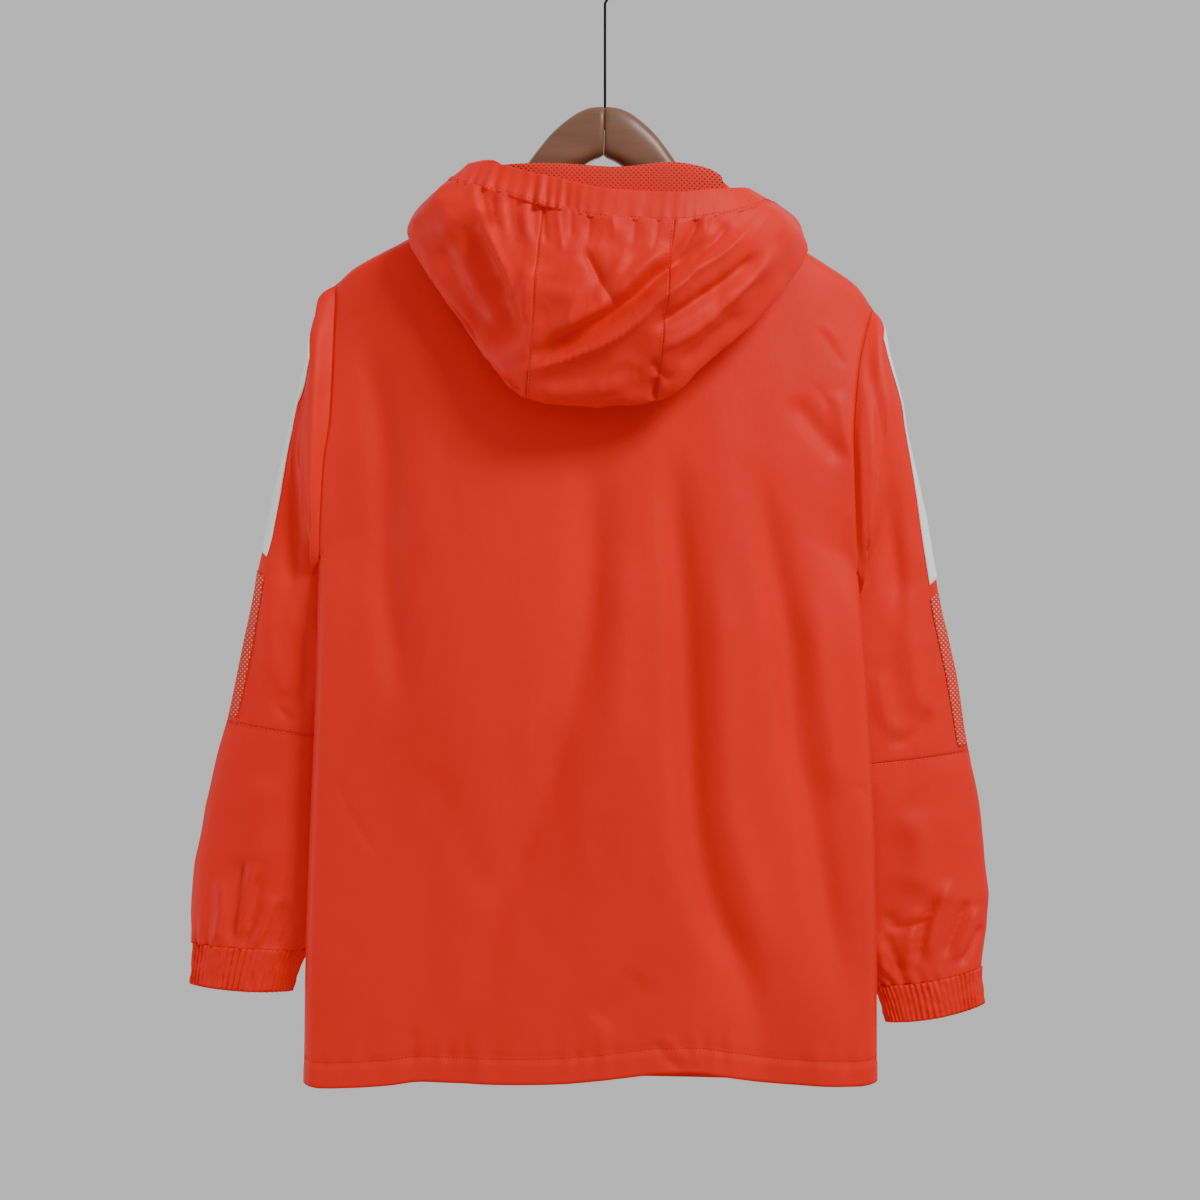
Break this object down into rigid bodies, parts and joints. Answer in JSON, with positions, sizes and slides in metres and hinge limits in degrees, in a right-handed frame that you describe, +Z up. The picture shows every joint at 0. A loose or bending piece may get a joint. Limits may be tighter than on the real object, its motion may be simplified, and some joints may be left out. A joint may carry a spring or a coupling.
{
  "type": "hooded windbreaker on a hanger",
  "caption": "Lightweight hooded zip-front windbreaker hanging on a wooden clothes hanger with a wire hook, back towards the viewer, hood hanging down its back.",
  "frame": {"origin": "inside top of the bend of the hanger's hook, where it rests on a rail", "axes": "+Z up, -Y out of the jacket's back (the side in the picture), +Y out of its zipped front, +X towards the wearer's right"},
  "size_m": [0.704, 0.1724, 1.0038],
  "materials": {
    "red_nylon": "satin woven nylon",
    "lining_mesh": "matte knitted mesh",
    "sleeve_mesh": "matte perforated mesh",
    "white_tape": "matte woven tape",
    "zip_tape": "matte woven tape",
    "red_teeth": "moulded zip teeth",
    "slider_metal": "plated die-cast metal",
    "brown_wood": "stained and lacquered",
    "black_wire": "black plated wire"
  },
  "bodies": {
    "jacket_and_hanger": {"back_panel": "red_nylon", "cuff_left": "red_nylon", "cuff_right": "red_nylon", "front_left": "red_nylon", "front_right": "red_nylon", "hanger_arm_left": "brown_wood", "hanger_arm_right": "brown_wood", "hanger_hook": "black_wire", "hood_casing": "red_nylon", "hood_centre": "red_nylon", "hood_lining": "lining_mesh", "hood_side_left": "red_nylon", "hood_side_right": "red_nylon", "sleeve_lower_left": "red_nylon", "sleeve_lower_right": "red_nylon", "sleeve_mesh_left": "sleeve_mesh", "sleeve_mesh_right": "sleeve_mesh", "sleeve_tape_left": "white_tape", "sleeve_tape_right": "white_tape", "sleeve_upper_left": "red_nylon", "sleeve_upper_right": "red_nylon", "zip_chain": "red_teeth", "zip_slider": "slider_metal", "zip_tape_left": "zip_tape", "zip_tape_right": "zip_tape"},
    "pull_tab": {"zip_pull": "slider_metal"}
  },
  "joints": [
    {"name": "pull_tab_lift", "type": "hinge", "parent": "jacket_and_hanger", "child": "pull_tab", "pos_m": [-0.00009, 0.03892, -0.30258], "axis": [1, 0, 0], "range_deg": [0, 150]}
  ]
}
